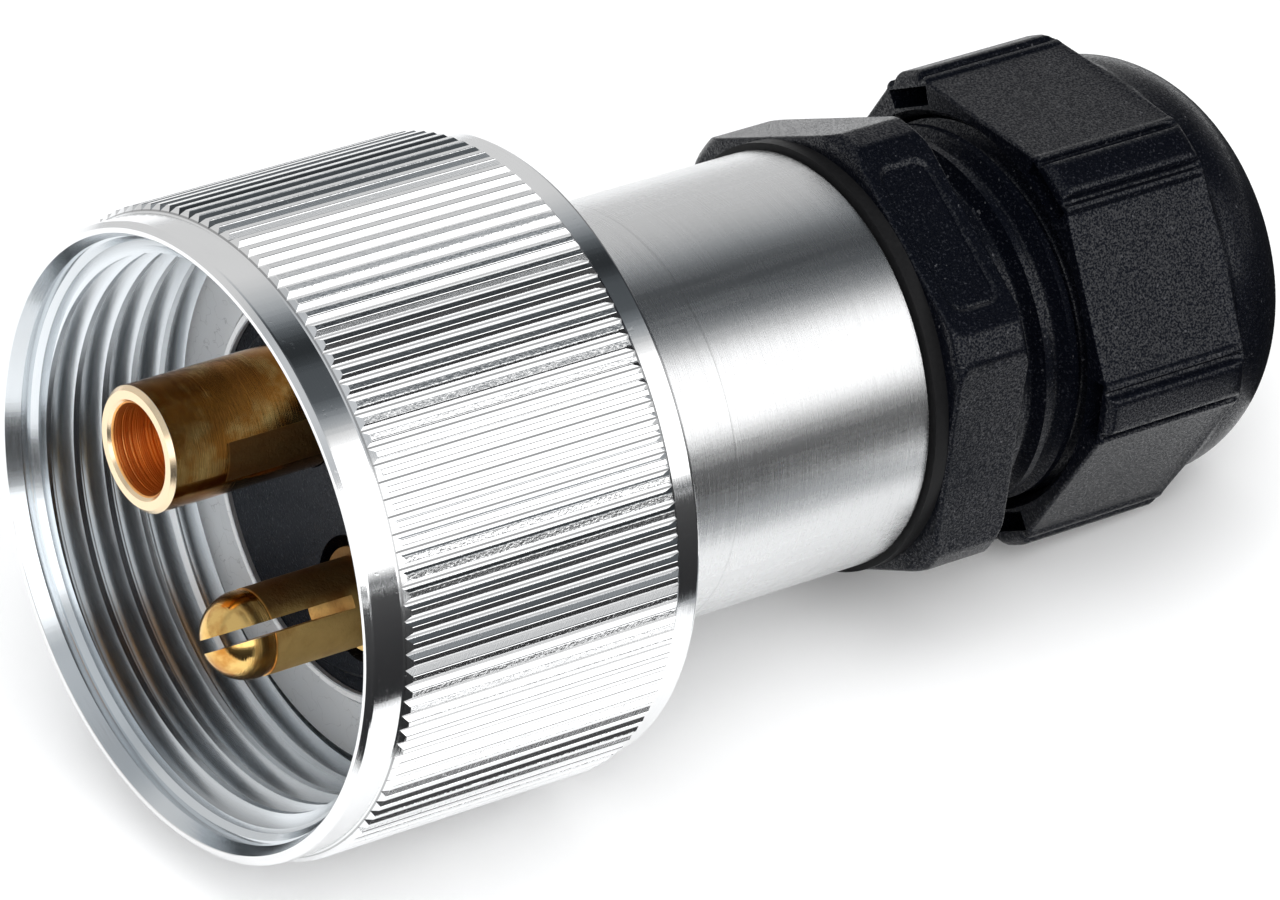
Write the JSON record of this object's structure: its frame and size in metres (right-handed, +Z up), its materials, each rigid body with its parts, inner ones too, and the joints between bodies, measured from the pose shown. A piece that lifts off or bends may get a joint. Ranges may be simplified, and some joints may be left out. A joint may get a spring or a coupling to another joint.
{
  "type": "cable_plug",
  "caption": "Screw-coupled cable plug: knurled aluminium nut, black insert with a hollow brass contact beside a split pin, and a black plastic cable gland with a domed cap",
  "frame": {"origin": "On the ground plane, under the middle of the bounding box of the plug at rest", "axes": "+X to the rear (cable end), +Y to the left when looking from the front end to the rear, +Z up; the plug's own axis leans rear end down by its rest angle"},
  "size_m": [0.0776, 0.0394, 0.0415],
  "materials": {
    "bright_aluminium": "turned",
    "satin_aluminium": "satin",
    "grey_washer": "matte",
    "black_insert": "satin",
    "contact_brass": "turned",
    "plated_steel": "plated",
    "black_rubber": "matte",
    "black_polyamide": "fine texture"
  },
  "bodies": {
    "plug_body": {"sleeve": "satin_aluminium", "insert": "black_insert", "socket_contact": "contact_brass", "pin_contact": "contact_brass", "socket_washer": "plated_steel", "pin_washer": "plated_steel", "socket_nut": "contact_brass", "pin_nut": "contact_brass", "gland_gasket": "black_rubber", "gland_body": "black_polyamide"},
    "thrust_ring": {"thrust_washer": "grey_washer"},
    "coupling": {"coupling_nut": "bright_aluminium"},
    "clamp": {"clamp_cage": "black_polyamide", "cable_seal": "black_rubber"},
    "cap": {"dome_cap": "black_polyamide"}
  },
  "joints": [
    {"name": "nut_slide", "type": "slide", "parent": "plug_body", "child": "thrust_ring", "axis": [0.9915, 0, -0.1303], "range_m": [0, 0.0215]},
    {"name": "nut_turn", "type": "hinge", "parent": "thrust_ring", "child": "coupling", "pos_m": [-0.02444, 0, 0.02075], "axis": [0.9915, 0, -0.1303], "continuous": true},
    {"name": "cap_travel", "type": "slide", "parent": "plug_body", "child": "clamp", "axis": [0.9915, 0, -0.1303], "range_m": [-0.0052, 0.002]},
    {"name": "cap_turn", "type": "hinge", "parent": "clamp", "child": "cap", "pos_m": [0.0291, 0, 0.01371], "axis": [0.9915, 0, -0.1303], "range_deg": [-937, 361]}
  ],
  "couplings": [
    {"joint": "cap_turn", "follows": "cap_travel", "rad_per_m": 3141.6}
  ]
}
